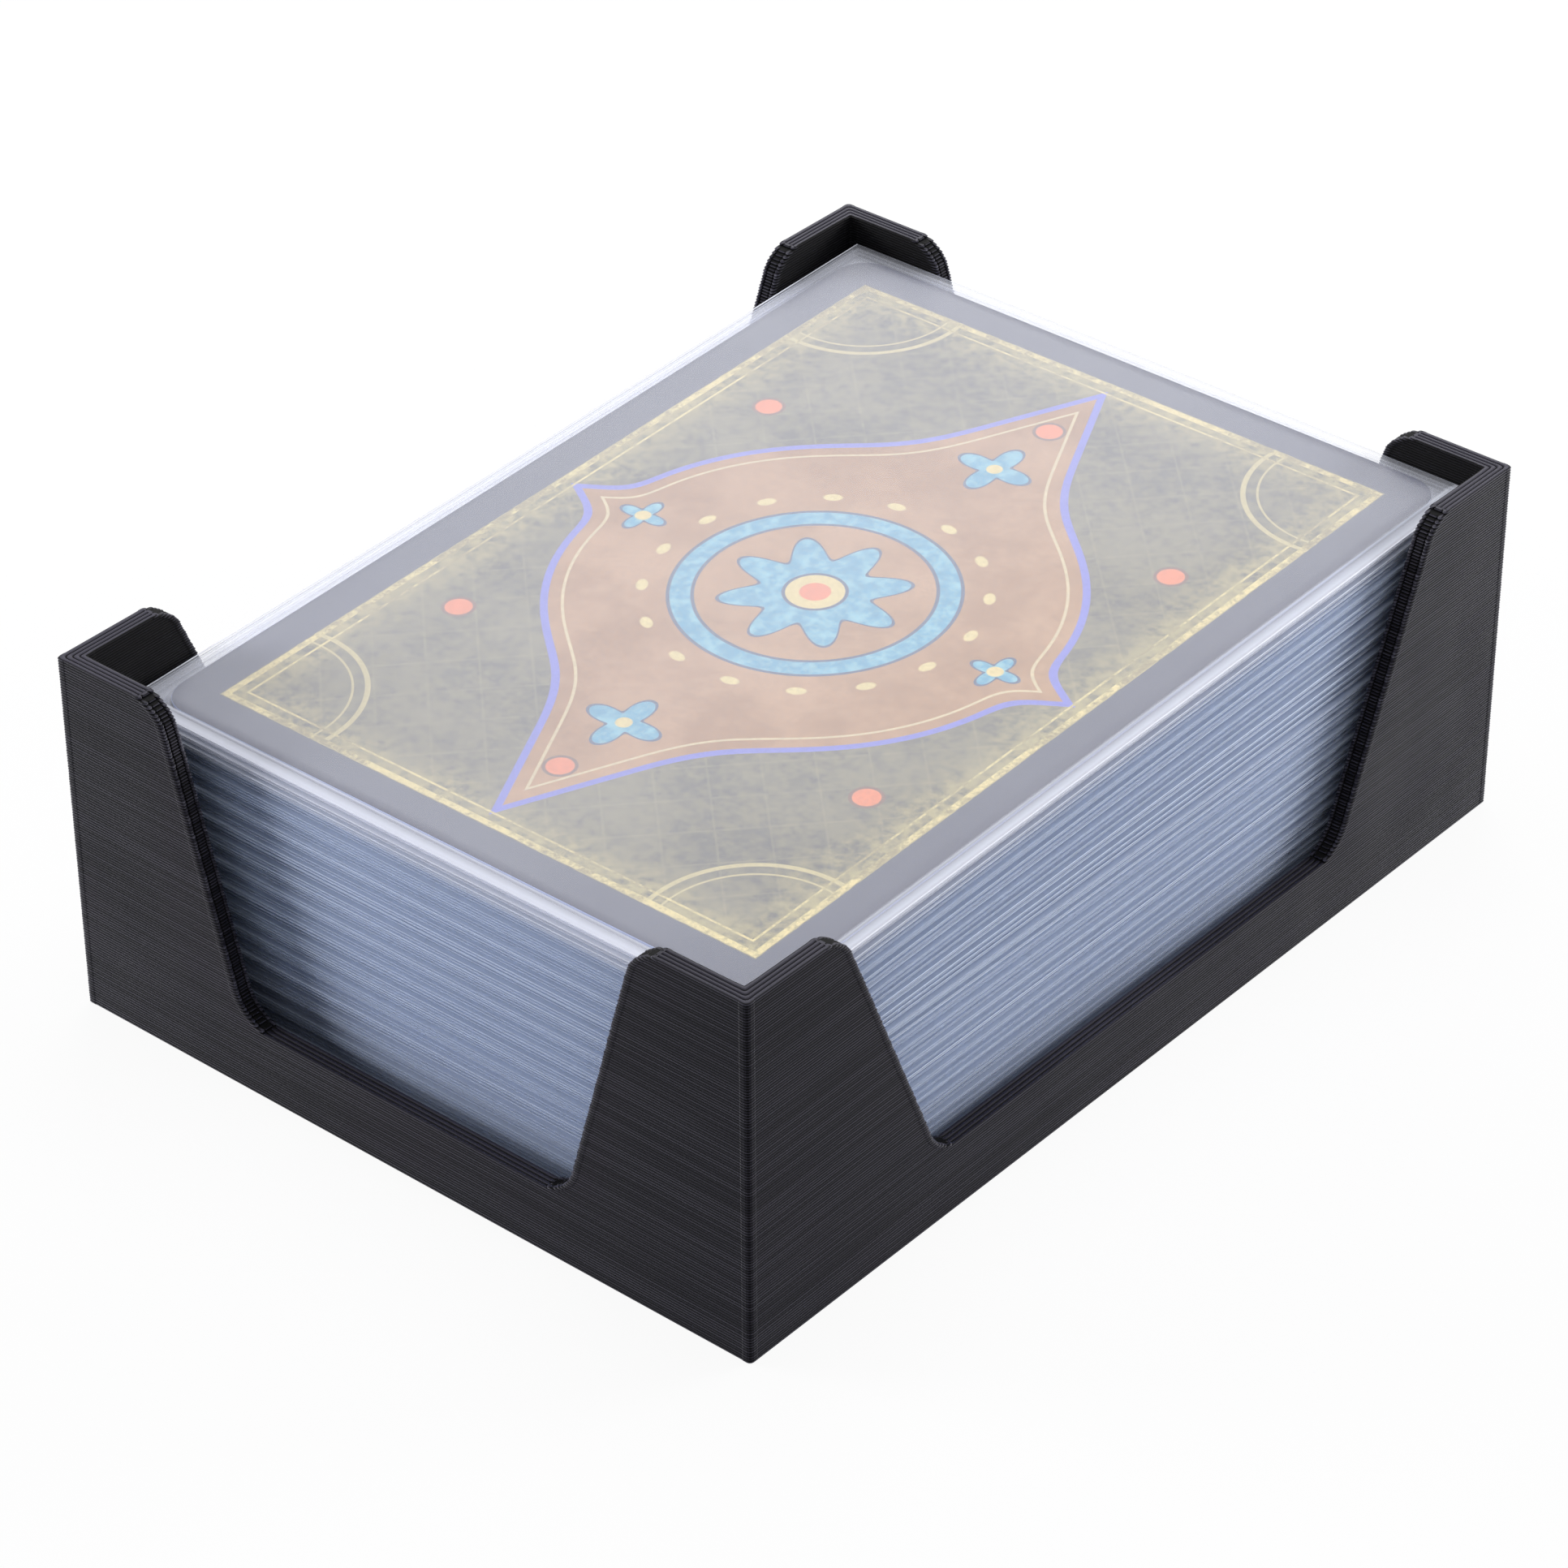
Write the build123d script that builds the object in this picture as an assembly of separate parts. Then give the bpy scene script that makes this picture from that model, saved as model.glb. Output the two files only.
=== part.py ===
"""Open card tray: a printed tray holding a stack of playing cards in film sleeves.

Millimetres, +Z up. The origin is on the flat base, in the middle of it. +Y runs
along the cards' long side and the front of the tray faces -Y. Cards are counted
from the top of the stack.

Pieces
  tray                 floor, low wall and four corner posts, printed in one
  sleeve_01 ...        film sleeve of each of the top cards
  card_01 ...          the card inside that sleeve
  packet_a_sleeves ... the sleeves of a packet lower in the stack
  packet_a_cards ...   the cards inside them
"""
from build123d import *
from math import radians, sin, tan
import os

# ------------------------------------------------------------ driving dimensions
# card
CARD_WIDTH = 63.0
CARD_LENGTH = 88.0
CARD_THICKNESS = 0.31
CARD_CORNER = 3.0

# sleeve: two films, welded at both long sides and at the far end
FILM = 0.10             # one layer of film
SIDE_MARGIN = 1.5       # film beyond the card's long sides
END_MARGIN = 1.5        # film beyond the card's short ends
WELD = 0.40             # width of the welded seam
MOUTH_GAP = 0.10        # the films stand this far apart at the open end
CARD_SLIP = 0.01        # between the card's face and the film
SHOULDER = 0.50         # the film stays flat this far past the card's edge

# stack
PACKET_NAMES = "abcdefg"
CARDS_IN_PACKET = 6
SINGLE_CARDS = 8        # the top ones, each a piece of its own
AIR_GAP = 0.01          # between one sleeve and the next
SHIFT_TO_BACK = 0.6     # share of their play by which the sleeves lie nearer the back wall
SPREAD = 0.15           # share of their play over which they wander about that place
CARD_SPREAD = 0.3       # share of the shoulder over which a card wanders in its sleeve
CARD_TURN = 0.2         # degrees a card may lie askew in its sleeve
STEP_ACROSS = 2.4       # radians from one card to the next, for an uneven stack
STEP_ALONG = 1.7
STEP_TURN = 1.1
RISE_TO_BACK = 1.7      # degrees, slope of the loose cards at the top
LOOSE_CARDS = 10        # so many have the whole slope,
FADING_CARDS = 10       # and it fades away over so many more

# tray
WALL = 1.8
FLOOR = 1.8
PLAY_ACROSS = 1.0       # centred sleeve to wall, at the long sides
PLAY_ALONG = 1.5        # centred sleeve to wall, at the short ends
HEADROOM = 4.9          # from the pressed stack up to the posts' tops
LIP_RISE = 4.6          # low wall above the floor
POST_WIDTH = 11.2       # wing of a corner post, at its top
SHORT_SIDE_SLANT = 15.5  # degrees from upright, edge of the notch
LONG_SIDE_SLANT = 23.0
TIP_ROUND = 3.6         # where a post's top rolls over into the notch
FOOT_ROUND = 4.1        # where the notch's edge runs out into the low wall
CORNER_ROUND = 0.4      # upright outer corners, as wide as one printed bead

# ------------------------------------------------------------ sizes that follow
SLEEVE_WIDTH = CARD_WIDTH + 2 * SIDE_MARGIN
SLEEVE_LENGTH = CARD_LENGTH + 2 * END_MARGIN
SLEEVE_THICKNESS = CARD_THICKNESS + 2 * (CARD_SLIP + FILM)
PITCH = SLEEVE_THICKNESS + AIR_GAP
CARD_COUNT = SINGLE_CARDS + CARDS_IN_PACKET * len(PACKET_NAMES)

POCKET_WIDTH = SLEEVE_WIDTH + 2 * PLAY_ACROSS
POCKET_LENGTH = SLEEVE_LENGTH + 2 * PLAY_ALONG
TRAY_WIDTH = POCKET_WIDTH + 2 * WALL
TRAY_LENGTH = POCKET_LENGTH + 2 * WALL
LIP_HEIGHT = FLOOR + LIP_RISE
TRAY_HEIGHT = FLOOR + CARD_COUNT * PITCH + HEADROOM

FRONT_VIEW = Plane.XZ
SIDE_VIEW = Plane.YZ


# ------------------------------------------------------------ tray
def notched_outline(span, slant):
    """One view of the tray: a low wall between two posts, across the given span.

    The notch between the posts narrows downwards by the slant. Its two tips
    roll over and its two feet run out into the low wall on arcs.
    """
    tip = span / 2 - POST_WIDTH
    foot = tip - (TRAY_HEIGHT - LIP_HEIGHT) * tan(radians(slant))
    right_half = [
        (span / 2, 0),
        (span / 2, TRAY_HEIGHT),
        (tip, TRAY_HEIGHT),
        (foot, LIP_HEIGHT),
    ]
    left_half = [(-x, z) for x, z in reversed(right_half)]
    outline = make_face(Polyline(*right_half, *left_half, close=True))

    tops = outline.vertices().sort_by(Axis.Y)[-4:]
    tips = tops.sort_by(lambda v: abs(v.X))[:2]
    outline = fillet(tips, TIP_ROUND)
    feet = outline.vertices().sort_by(lambda v: abs(v.X))[:2]
    return fillet(feet, FOOT_ROUND)


def make_tray():
    """An open box, cut to its front view and then to its side view."""
    lift = Pos(0, 0, TRAY_HEIGHT / 2)
    block = lift * Box(TRAY_WIDTH, TRAY_LENGTH, TRAY_HEIGHT)
    block = fillet(block.edges().filter_by(Axis.Z), CORNER_ROUND)
    pocket = Pos(0, 0, FLOOR) * lift * Box(POCKET_WIDTH, POCKET_LENGTH, TRAY_HEIGHT)
    front = FRONT_VIEW * notched_outline(TRAY_WIDTH, SHORT_SIDE_SLANT)
    side = SIDE_VIEW * notched_outline(TRAY_LENGTH, LONG_SIDE_SLANT)
    tray = block - pocket
    tray &= extrude(front, TRAY_LENGTH, both=True)
    tray &= extrude(side, TRAY_WIDTH, both=True)
    return tray


# ------------------------------------------------------------ card and sleeve
def make_card():
    """A card lying flat, its middle at the origin."""
    face = RectangleRounded(CARD_WIDTH, CARD_LENGTH, CARD_CORNER)
    return extrude(face, CARD_THICKNESS / 2, both=True)


def lens_outline(near, far):
    """A closed outline, alike above and below the sleeve's middle plane.

    Near and far are lists of (place, half height), each from the card outwards.
    """
    upper = list(reversed([(-place, height) for place, height in near])) + far
    lower = [(place, -height) for place, height in reversed(upper) if height > 0]
    return make_face(Polyline(*upper, *lower, close=True))


def crossed_bars(side, near_end, far_end):
    """What a bar along the sleeve and a bar across it have in common."""
    along = extrude(FRONT_VIEW * lens_outline(side, side), SLEEVE_LENGTH, both=True)
    across = extrude(SIDE_VIEW * lens_outline(near_end, far_end), SLEEVE_WIDTH, both=True)
    return along & across


def make_sleeve():
    """A film pocket that swells over the card, its middle at the origin.

    Outside and hollow are each the overlap of two bars: one with the section
    across the sleeve, one with the section along it. The films draw together
    past the card's edge. They are welded at both long sides and at the far end,
    and stay open at the near end.
    """
    half_width = SLEEVE_WIDTH / 2
    half_length = SLEEVE_LENGTH / 2
    full = SLEEVE_THICKNESS / 2
    side_shoulder = CARD_WIDTH / 2 + SHOULDER
    end_shoulder = CARD_LENGTH / 2 + SHOULDER

    side = [(side_shoulder, full), (half_width - WELD, FILM), (half_width, FILM)]
    far_end = [(end_shoulder, full), (half_length - WELD, FILM), (half_length, FILM)]
    mouth = [(end_shoulder, full), (half_length, FILM + MOUTH_GAP / 2)]
    outside = crossed_bars(side, mouth, far_end)

    side = [(side_shoulder, full - FILM), (half_width - WELD, 0)]
    far_end = [(end_shoulder, full - FILM), (half_length - WELD, 0)]
    mouth = [(end_shoulder, full - FILM), (half_length, MOUTH_GAP / 2)]
    mouth.append((half_length + WELD, MOUTH_GAP / 2))
    return outside - crossed_bars(side, mouth, far_end)


# ------------------------------------------------------------ the stack
def slope(number):
    """The loose cards rise to the back from their front edge, which is pressed."""
    looseness = (LOOSE_CARDS + FADING_CARDS - number) / FADING_CARDS
    looseness = min(max(looseness, 0), 1)
    front_edge = Pos(0, -SLEEVE_LENGTH / 2, 0)
    return front_edge * Rot(RISE_TO_BACK * looseness, 0, 0) * front_edge.inverse()


def sleeve_place(number):
    """Where a sleeve lies: its height, its slope, and how far it has slid."""
    across = PLAY_ACROSS * SPREAD * sin(STEP_ACROSS * number)
    along = PLAY_ALONG * (SHIFT_TO_BACK + SPREAD * sin(STEP_ALONG * number))
    height = FLOOR + (CARD_COUNT - number + 1) * PITCH - SLEEVE_THICKNESS / 2
    return Pos(0, 0, height) * slope(number) * Pos(across, along, 0)


def card_place(number):
    """Where the card lies in its sleeve: slid and turned by a little."""
    across = SHOULDER * CARD_SPREAD * sin(STEP_ALONG * number)
    along = SHOULDER * CARD_SPREAD * sin(STEP_ACROSS * number)
    turn = CARD_TURN * sin(STEP_TURN * number)
    return sleeve_place(number) * Pos(across, along, 0) * Rot(0, 0, turn)


def write(name, solids):
    """One file for one piece, or for a packet of separate pieces."""
    shape = solids[0] if len(solids) == 1 else Compound(children=solids)
    shape.label = name
    export_step(shape, f"parts/{name}.step")
    print(f"{name:20s} {len(solids):2d} solid(s), {sum(s.volume for s in solids):9.1f} mm3")


def main():
    os.makedirs("parts", exist_ok=True)
    print(f"tray {TRAY_WIDTH:.1f} x {TRAY_LENGTH:.1f} x {TRAY_HEIGHT:.1f} mm, {CARD_COUNT} sleeved cards")
    write("tray", [make_tray().solid()])

    sleeve = make_sleeve().solid()
    card = make_card().solid()
    for number in range(1, SINGLE_CARDS + 1):
        write(f"sleeve_{number:02d}", [sleeve_place(number) * sleeve])
        write(f"card_{number:02d}", [card_place(number) * card])

    first = SINGLE_CARDS + 1
    for letter in PACKET_NAMES:
        numbers = range(first, first + CARDS_IN_PACKET)
        write(f"packet_{letter}_sleeves", [sleeve_place(n) * sleeve for n in numbers])
        write(f"packet_{letter}_cards", [card_place(n) * card for n in numbers])
        first += CARDS_IN_PACKET


main()
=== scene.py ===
# %% [markdown]
# # A card tray, dressed for its portrait
#
# The object is an open tray printed from black filament, with a stack of playing
# cards in it, each in a film sleeve. The CAD model gives the places and the sizes.
# This script gives the looks: the printed beads, the milky film and the cards' backs.
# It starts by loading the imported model, and keeps its box to compare at the end.

# %% Load the frame
import bpy
import numpy as np
from mathutils import Matrix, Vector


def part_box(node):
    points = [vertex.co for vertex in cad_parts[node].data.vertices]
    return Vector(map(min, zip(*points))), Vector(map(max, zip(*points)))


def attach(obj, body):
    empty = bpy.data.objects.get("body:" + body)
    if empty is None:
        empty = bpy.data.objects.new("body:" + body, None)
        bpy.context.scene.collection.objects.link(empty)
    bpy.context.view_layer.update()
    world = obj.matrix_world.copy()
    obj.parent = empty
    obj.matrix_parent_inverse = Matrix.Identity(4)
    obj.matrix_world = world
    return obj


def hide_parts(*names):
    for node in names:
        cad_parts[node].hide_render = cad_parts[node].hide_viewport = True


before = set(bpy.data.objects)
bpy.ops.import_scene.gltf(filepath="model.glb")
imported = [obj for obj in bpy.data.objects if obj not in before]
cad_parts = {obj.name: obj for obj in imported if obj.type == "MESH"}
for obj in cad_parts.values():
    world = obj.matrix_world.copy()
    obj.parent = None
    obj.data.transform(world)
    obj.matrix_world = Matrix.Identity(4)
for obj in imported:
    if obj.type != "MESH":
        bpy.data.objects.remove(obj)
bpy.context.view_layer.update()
MM = 0.001

# %% [markdown]
# ## Sizes
#
# All sizes are in millimetres, as in the CAD source. The tray, the cards and the
# sleeves repeat its values, because the new surfaces have to lie where the solids
# lie. Every piece is compared with its solid's box when it is made.

# %% Sizes that the pieces share
TRAY_WIDTH, TRAY_LENGTH, TRAY_HEIGHT = 71.6, 97.6, 33.7
WALL, FLOOR, LIP_HEIGHT, POST_WIDTH = 1.8, 1.8, 6.4, 11.2
SHORT_SIDE_SLANT, LONG_SIDE_SLANT, TIP_ROUND, FOOT_ROUND = 15.5, 23.0, 3.6, 4.1
CARD_WIDTH, CARD_LENGTH, CARD_THICKNESS, CARD_CORNER = 63.0, 88.0, 0.31, 3.0
SLEEVE_WIDTH, SLEEVE_LENGTH, SLEEVE_THICKNESS = 66.0, 91.0, 0.53
FILM, WELD, SHOULDER = 0.10, 0.40, 0.50
CARD_COUNT, PITCH, RISE_TO_BACK, LOOSE_CARDS, FADING_CARDS = 50, 0.54, 1.7, 10, 10
PLAY_ACROSS, PLAY_ALONG, SHIFT_TO_BACK, SPREAD = 1.0, 1.5, 0.6, 0.15
print("tray", TRAY_WIDTH, "x", TRAY_LENGTH, "x", TRAY_HEIGHT, "mm")

# %% [markdown]
# ## From a grid to a mesh
#
# Each new surface is a grid of points: one parameter runs along the rows and one
# along the columns. A mesh could be built point by point with bmesh, but whole
# arrays are faster and keep the formula in sight. Where a grid closes on itself or
# draws together, its points coincide, so they are joined and thin faces dropped.

# %% Faces of a grid, and joined seams
def grid_faces(rows, columns, closed=False, first=0):
    """Quads of a grid kept row by row: a point, the next one, and the two across."""
    r, c = np.meshgrid(np.arange(rows - 1), np.arange(columns - (not closed)), indexing="ij")
    right = (c + 1) % columns
    this, following = r * columns, (r + 1) * columns
    quads = (this + c, this + right, following + right, following + c)
    return np.stack(quads, -1).reshape(-1, 4) + first


def join_seams(points, quads):
    """Coinciding points become one. A quad that loses one corner becomes a triangle."""
    _, first, place = np.unique(points.round(6), axis=0, return_index=True, return_inverse=True)
    quads = place.reshape(-1)[quads]
    lost = quads == np.roll(quads, -1, axis=1)
    corners = (~lost).sum(1)
    three = corners == 3
    return points[first], quads[corners == 4], quads[three][~lost[three]].reshape(-1, 3)


demo = join_seams(np.zeros((4, 3)), grid_faces(2, 2))
print("a collapsed grid keeps", len(demo[0]), "point and", len(demo[1]), "faces")

# %% Mesh and object
def make_piece(name, points, quads, material, nodes, body, smooth=True, carry=None):
    """A finished piece: seams joined, in metres, on its body, in place of its nodes.

    carry holds one row of extra values for each point, given back with the joined points.
    """
    points = points if carry is None else np.hstack([points, carry])
    points, quads, triangles = join_seams(points, quads)
    mesh = bpy.data.meshes.new(name)
    mesh.vertices.add(len(points))
    mesh.vertices.foreach_set("co", (points[:, :3] * MM).ravel())
    corners = np.concatenate([quads.ravel(), triangles.ravel()])
    starts = np.concatenate([np.arange(len(quads)) * 4, quads.size + np.arange(len(triangles)) * 3])
    mesh.loops.add(len(corners))
    mesh.loops.foreach_set("vertex_index", corners)
    mesh.polygons.add(len(starts))
    mesh.polygons.foreach_set("loop_start", starts)
    mesh.update(calc_edges=True)
    mesh.polygons.foreach_set("use_smooth", np.full(len(starts), smooth))
    mesh.materials.append(material)
    piece = bpy.data.objects.new(name, mesh)
    bpy.context.scene.collection.objects.link(piece)
    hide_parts(*nodes)
    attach(piece, body)
    check_place(name, points[:, :3], nodes)
    return piece, points


def check_place(name, points, nodes):
    """Prints how far the piece's box lies from its solids' box, at the worst corner."""
    low = np.min([np.array(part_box(n)[0]) for n in nodes], 0) / MM
    high = np.max([np.array(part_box(n)[1]) for n in nodes], 0) / MM
    off = max(abs(points.min(0) - low).max(), abs(points.max(0) - high).max())
    proud = max((low - points.min(0)).max(), (points.max(0) - high).max())
    print(f"{name}: {len(points)} points, box off by {off:.2f} mm, proud by {proud:.2f} mm")


# %% [markdown]
# ## Writing materials as formulas
#
# A procedural material is a sum done at every point of the surface. Nodes can be
# laid out by hand, but a pattern of many lines and leaves is easier to read as a
# formula. So a Value stands for a node's output, and adding or comparing two of
# them makes the Math node that does it.

# %% A value in a node tree
class Value:
    """A node's output that can be used in a formula. Each operation is a Math node."""

    def __init__(self, tree, socket):
        self.tree, self.socket = tree, socket

    def math(self, operation, *others):
        node = self.tree.nodes.new("ShaderNodeMath")
        node.operation = operation
        for slot, value in zip(node.inputs, (self,) + others):
            if isinstance(value, Value):
                self.tree.links.new(value.socket, slot)
            else:
                slot.default_value = value
        return Value(self.tree, node.outputs[0])

    def __add__(self, other): return self.math("ADD", other)
    def __sub__(self, other): return self.math("SUBTRACT", other)
    def __rsub__(self, other): return self.math("MULTIPLY", -1.0).math("ADD", other)
    def __mul__(self, other): return self.math("MULTIPLY", other)
    def __truediv__(self, other): return self.math("DIVIDE", other)
    def __abs__(self): return self.math("ABSOLUTE")
    def __mod__(self, other): return self.math("FLOORED_MODULO", other)
    def under(self, limit): return self.math("LESS_THAN", limit)
    def over(self, limit): return self.math("GREATER_THAN", limit)
    def least(self, other): return self.math("MINIMUM", other)
    def most(self, other): return self.math("MAXIMUM", other)
    __radd__, __rmul__ = __add__, __mul__

    def soft(self, start, end, low=0.0, high=1.0):
        """Goes from low to high while this value goes from start to end."""
        node = self.tree.nodes.new("ShaderNodeMapRange")
        node.interpolation_type = "SMOOTHSTEP"
        self.tree.links.new(self.socket, node.inputs[0])
        for slot, value in zip(node.inputs[1:5], (start, end, low, high)):
            slot.default_value = value
        return Value(self.tree, node.outputs[0])


print("values can be added, compared and softened")

# %% A material and its textures
class Finish:
    """A material with one Principled shader, and short names for what feeds it."""

    def __init__(self, name):
        self.material = bpy.data.materials.new(name)
        self.material.use_nodes = True
        self.tree = self.material.node_tree
        self.shader = self.tree.nodes["Principled BSDF"]
        scaled = self.add("ShaderNodeVectorMath", "SCALE", Scale=1 / MM)
        self.tree.links.new(self.add("ShaderNodeTexCoord").outputs["Object"], scaled.inputs[0])
        self.place = scaled.outputs[0]

    def add(self, kind, operation=None, **settings):
        node = self.tree.nodes.new(kind)
        if operation:
            node.operation = operation
        for name, value in settings.items():
            node.inputs[name.replace("_", " ")].default_value = value
        return node

    def set(self, **settings):
        for name, value in settings.items():
            self.shader.inputs[name.replace("_", " ")].default_value = value

    def feed(self, name, value):
        source = value.socket if isinstance(value, Value) else value
        self.tree.links.new(source, self.shader.inputs[name])

    def parts(self, vector):
        node = self.add("ShaderNodeSeparateXYZ")
        self.tree.links.new(vector, node.inputs[0])
        return [Value(self.tree, out) for out in node.outputs]

    def noise(self, size, stretch=(1, 1, 1), detail=2.0, roughness=0.5):
        """Noise whose blotches are about this many millimetres across."""
        mapping = self.add("ShaderNodeMapping", Scale=[1 / (size * s) for s in stretch])
        self.tree.links.new(self.place, mapping.inputs[0])
        node = self.add("ShaderNodeTexNoise", Scale=1.0, Detail=detail, Roughness=roughness)
        self.tree.links.new(mapping.outputs[0], node.inputs["Vector"])
        return Value(self.tree, node.outputs[0])

    def mix(self, share, one, other):
        """Between two colours, each a triple or a socket, by a share from 0 to 1."""
        node = self.add("ShaderNodeMix")
        node.data_type = "RGBA"
        self.tree.links.new(share.socket, node.inputs[0])
        for slot, colour in ((node.inputs[6], one), (node.inputs[7], other)):
            if isinstance(colour, tuple):
                slot.default_value = (*colour, 1.0)
            else:
                self.tree.links.new(colour, slot)
        return node.outputs[2]

    def bump(self, height, depth):
        """Raises the surface in the light's eyes only, by up to this many millimetres."""
        node = self.add("ShaderNodeBump", Strength=1.0, Distance=depth * MM)
        self.tree.links.new(height.socket, node.inputs["Height"])
        self.feed("Normal", node.outputs[0])


print("finishes are made of one shader each")

# %% [markdown]
# ## Black filament
#
# The tray is black filament, which is a dark grey with a faint cool sheen. Under
# soft light what shows is its gloss, so the colour stays near black. Neighbouring
# beads cool at slightly different rates, so each layer reflects a little more or less:
# a noise stretched along the walls changes from bead to bead and hardly along one.
# Between two beads little light comes back, so the grooves get painted shade, a near black
# colour, by a value that the mesh carries as an attribute, more under a bead than over it.
# Where that value is below 0 lie the noses of the beads at a wall's end, which get a painted
# glint, a lighter colour. On the pocket's floor and on the underside the nozzle went to and
# fro at 45 degrees, and there the painted shade of the grooves comes from the place.

# %% Filament
RASTER = 0.62  # from bead to bead on the floor, measured along one axis
filament = Finish("black_filament")


def carried(finish, label):
    """A number that the mesh carries for each of its points."""
    node = finish.add("ShaderNodeAttribute")
    node.attribute_name = label
    return Value(finish.tree, node.outputs["Fac"])


layers = filament.noise(0.25, stretch=(120, 120, 1), detail=1.0)
drift = filament.noise(6.0, stretch=(1, 1, 1.5), detail=3.0)
grain = filament.noise(0.12, stretch=(2.5, 2.5, 1), detail=2.0)
crest = filament.mix(layers.soft(0.36, 0.64), (0.0192, 0.018, 0.029), (0.0525, 0.050, 0.070))
across_x, across_y, above = filament.parts(filament.place)
_, _, upward = filament.parts(filament.add("ShaderNodeNewGeometry").outputs["True Normal"])
on_floor = abs(upward).over(0.9) * above.under(FLOOR + 0.2)
raster = abs((across_x + across_y) % RASTER - RASTER / 2) / (RASTER / 2)
# Painted light that the mesh carries: shade in the grooves, and below 0 a glint.
shade_and_glint = carried(filament, "groove_shade")
groove_shade = shade_and_glint.soft(0.2, 0.8) * (1.0 - on_floor) + on_floor * raster.soft(0.6, 1.0)
# Painted glint: the beads' noses at a wall's end get a lighter colour.
painted_end_glint = shade_and_glint.soft(-0.6, 0.0, 1.0, 0.0)
crest = filament.mix(painted_end_glint * layers.soft(0.35, 0.6), crest, (0.13, 0.13, 0.16))
# Painted shade: the grooves, and the floor's raster grooves, go near black.
filament.feed("Base Color", filament.mix(groove_shade, crest, (0.0006, 0.0006, 0.0009)))
filament.feed("Roughness", layers * 0.16 + drift * 0.18 + groove_shade * 0.3 + 0.22)
filament.set(IOR=1.5, Specular_IOR_Level=0.11)
filament.bump(grain * 0.6 + layers * 0.4 - on_floor * raster * raster, 0.02)
print(filament.material.name, "has", len(filament.tree.nodes), "nodes")

# %% [markdown]
# ## The notch's edge
#
# Seen from the side, a corner post has a slanted edge that rolls over into its top
# and runs out into the low wall. The slicer takes this outline once for each layer,
# in the middle of its height, so the edge is a fine staircase. The half width of
# the notch is therefore worked out as a function of height.

# %% Half width of a notch, by height
def half_notch(z, span, slant):
    """Half the notch's width at height z.

    In the middle it is the slanted line. Near the top it is an arc tangent to the
    line and to the post's top, near the foot one tangent to the line and the lip.
    """
    slant = np.radians(slant)
    foot = span / 2 - POST_WIDTH - (TRAY_HEIGHT - LIP_HEIGHT) * np.tan(slant)
    line = foot + (z - LIP_HEIGHT) * np.tan(slant)
    top, low = TRAY_HEIGHT - TIP_ROUND, LIP_HEIGHT + FOOT_ROUND
    top_x = foot + (top - LIP_HEIGHT) * np.tan(slant) + TIP_ROUND / np.cos(slant)
    low_x = foot + FOOT_ROUND * np.tan(slant) - FOOT_ROUND / np.cos(slant)
    tip = top_x - np.sqrt(np.clip(TIP_ROUND**2 - (z - top) ** 2, 0, None))
    root = low_x + np.sqrt(np.clip(FOOT_ROUND**2 - (z - low) ** 2, 0, None))
    line = np.where(z > top + TIP_ROUND * np.sin(slant), tip, line)
    return np.where(z < low - FOOT_ROUND * np.sin(slant), root, line)


for z in (7.0, 20.0, 33.0):
    print(f"z {z}: half notch {half_notch(z, TRAY_LENGTH, LONG_SIDE_SLANT):.1f} mm long side")

# %% [markdown]
# ## Printed beads
#
# The photograph shows 135 layers, a quarter of a millimetre each. Each layer is one
# bead high and swells a little in its middle. The tray's surface is a profile of such
# beads carried along its plan outline: three rings of points for each layer, the outer
# two drawn in. Between two layers the rings nearly meet in a narrow groove. Some layers
# lie a hundredth of a millimetre further in, as they do on a real print. Where the
# nozzle turns, at a corner or at a wall's end, it leaves a little more plastic, so the
# flat of each wall is sunk by a few hundredths behind a narrow ridge.

# %% Rings of the layers
LAYERS = 135
LAYER = TRAY_HEIGHT / LAYERS
BEAD_DEPTH, END_DEPTH, TOP_DEPTH = 0.08, 0.10, 0.09
SUNK, RIDGE, RIDGE_FALL = 0.035, 0.75, 0.12  # depth of a wall's flat, its ridge and the step between
OUTER_ROUND, INNER_ROUND = 0.4, 0.15  # upright corners
TOP_ROWS = 13  # rows of points across the four beads of a top
uneven = np.random.default_rng(5).uniform(0, 0.012, LAYERS)
uneven_end = np.random.default_rng(6).uniform(-0.02, 0.06, LAYERS)


def layer_rings(first, last):
    """Height, place in the bead from -1 to 1, and layer of each ring."""
    layer = np.repeat(np.arange(first, last), 3)
    in_bead = np.tile([-1.0, 0.0, 1.0], last - first)
    return (layer + 0.5 + 0.4 * in_bead) * LAYER, in_bead, layer


def bead_inset(in_bead, layer):
    """How far a wall's ring is drawn in: depth x (place in the bead) squared, and unevenness."""
    return BEAD_DEPTH * in_bead**2 + uneven[layer]


def ring_shade(in_bead):
    """How much painted shade a ring gets: the underside of a bead more than its upper side."""
    return np.interp(in_bead, [-1, 0, 1], [1.4, 0.1, 0.8])


def top_beads(across):
    """Depth below the crests of four beads that lie side by side.

    The rows of points meet sine squared at 0, in a groove, and at 3/4, on a crest.
    """
    return TOP_DEPTH * (1 - np.sin(across * 4 * np.pi) ** 2 / 0.75)


print(LAYERS, "layers of", round(LAYER, 3), "mm")

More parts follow.
